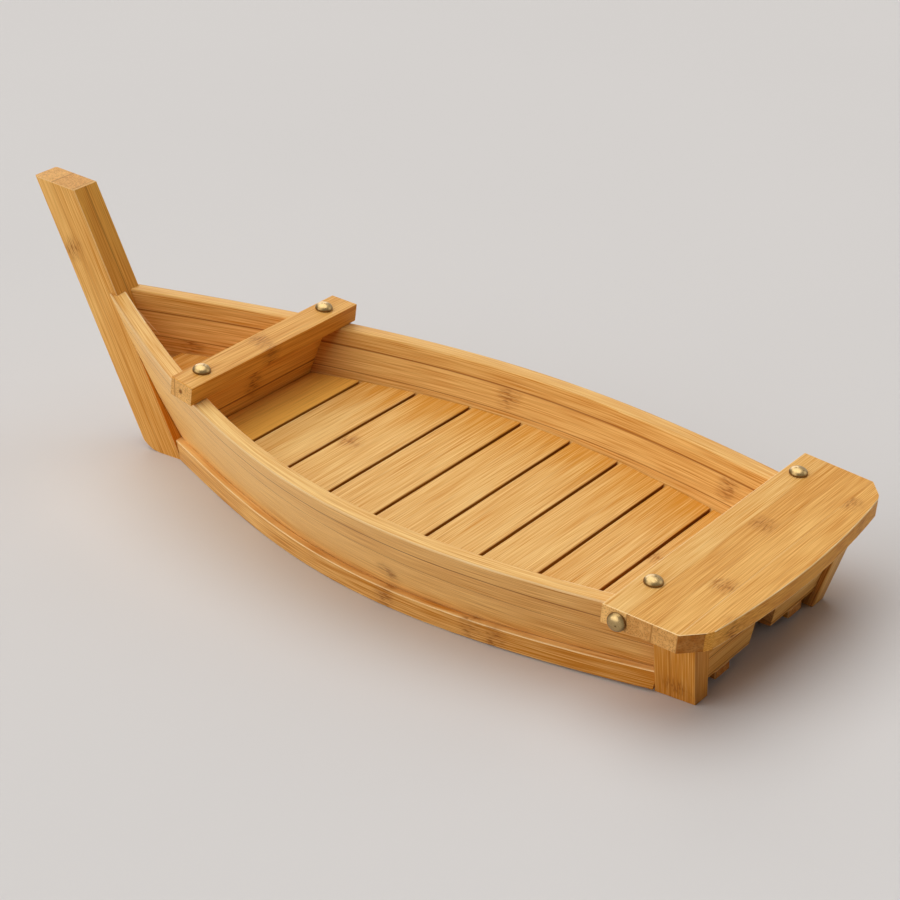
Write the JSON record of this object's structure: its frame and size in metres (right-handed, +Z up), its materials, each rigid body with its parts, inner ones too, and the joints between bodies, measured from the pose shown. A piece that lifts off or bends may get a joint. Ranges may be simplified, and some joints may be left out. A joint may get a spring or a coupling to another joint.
{
  "type": "sushi boat",
  "caption": "Laminated bamboo serving boat for sushi: flared curved sides on a raked stem, slatted tray floor, nailed thwart and a stern deck on splayed legs.",
  "frame": {"origin": "middle of the bounding box, on the plane the boat stands on", "axes": "+X towards the bow, +Y to port, +Z up"},
  "size_m": [0.6061, 0.2452, 0.1834],
  "materials": {
    "bamboo": "laminated bamboo, sanded and clear oiled, satin",
    "bamboo_pale": "paler laminated bamboo strips, sanded and clear oiled, satin",
    "brass": "aged polished brass dome"
  },
  "bodies": {
    "root": {"bow_bulkhead": "bamboo", "bow_floor": "bamboo", "floor_slat_1": "bamboo_pale", "floor_slat_10": "bamboo_pale", "floor_slat_2": "bamboo_pale", "floor_slat_3": "bamboo_pale", "floor_slat_4": "bamboo_pale", "floor_slat_5": "bamboo_pale", "floor_slat_6": "bamboo_pale", "floor_slat_7": "bamboo_pale", "floor_slat_8": "bamboo_pale", "floor_slat_9": "bamboo_pale", "port_deck_end_nail": "brass", "port_deck_nail": "brass", "port_floor_bearer": "bamboo", "port_gunwale_strip": "bamboo_pale", "port_lower_board": "bamboo", "port_rub_rail": "bamboo", "port_side_strip": "bamboo", "port_stern_leg": "bamboo", "port_thwart_nail": "brass", "starboard_deck_end_nail": "brass", "starboard_deck_nail": "brass", "starboard_floor_bearer": "bamboo", "starboard_gunwale_strip": "bamboo_pale", "starboard_lower_board": "bamboo", "starboard_rub_rail": "bamboo", "starboard_side_strip": "bamboo", "starboard_stern_leg": "bamboo", "starboard_thwart_nail": "brass", "stem_port_layer": "bamboo", "stem_starboard_layer": "bamboo", "stern_deck_after_strip": "bamboo", "stern_deck_front_strip": "bamboo_pale", "stern_deck_second_strip": "bamboo", "stern_deck_third_strip": "bamboo", "thwart": "bamboo_pale", "transom": "bamboo"}
  },
  "joints": []
}
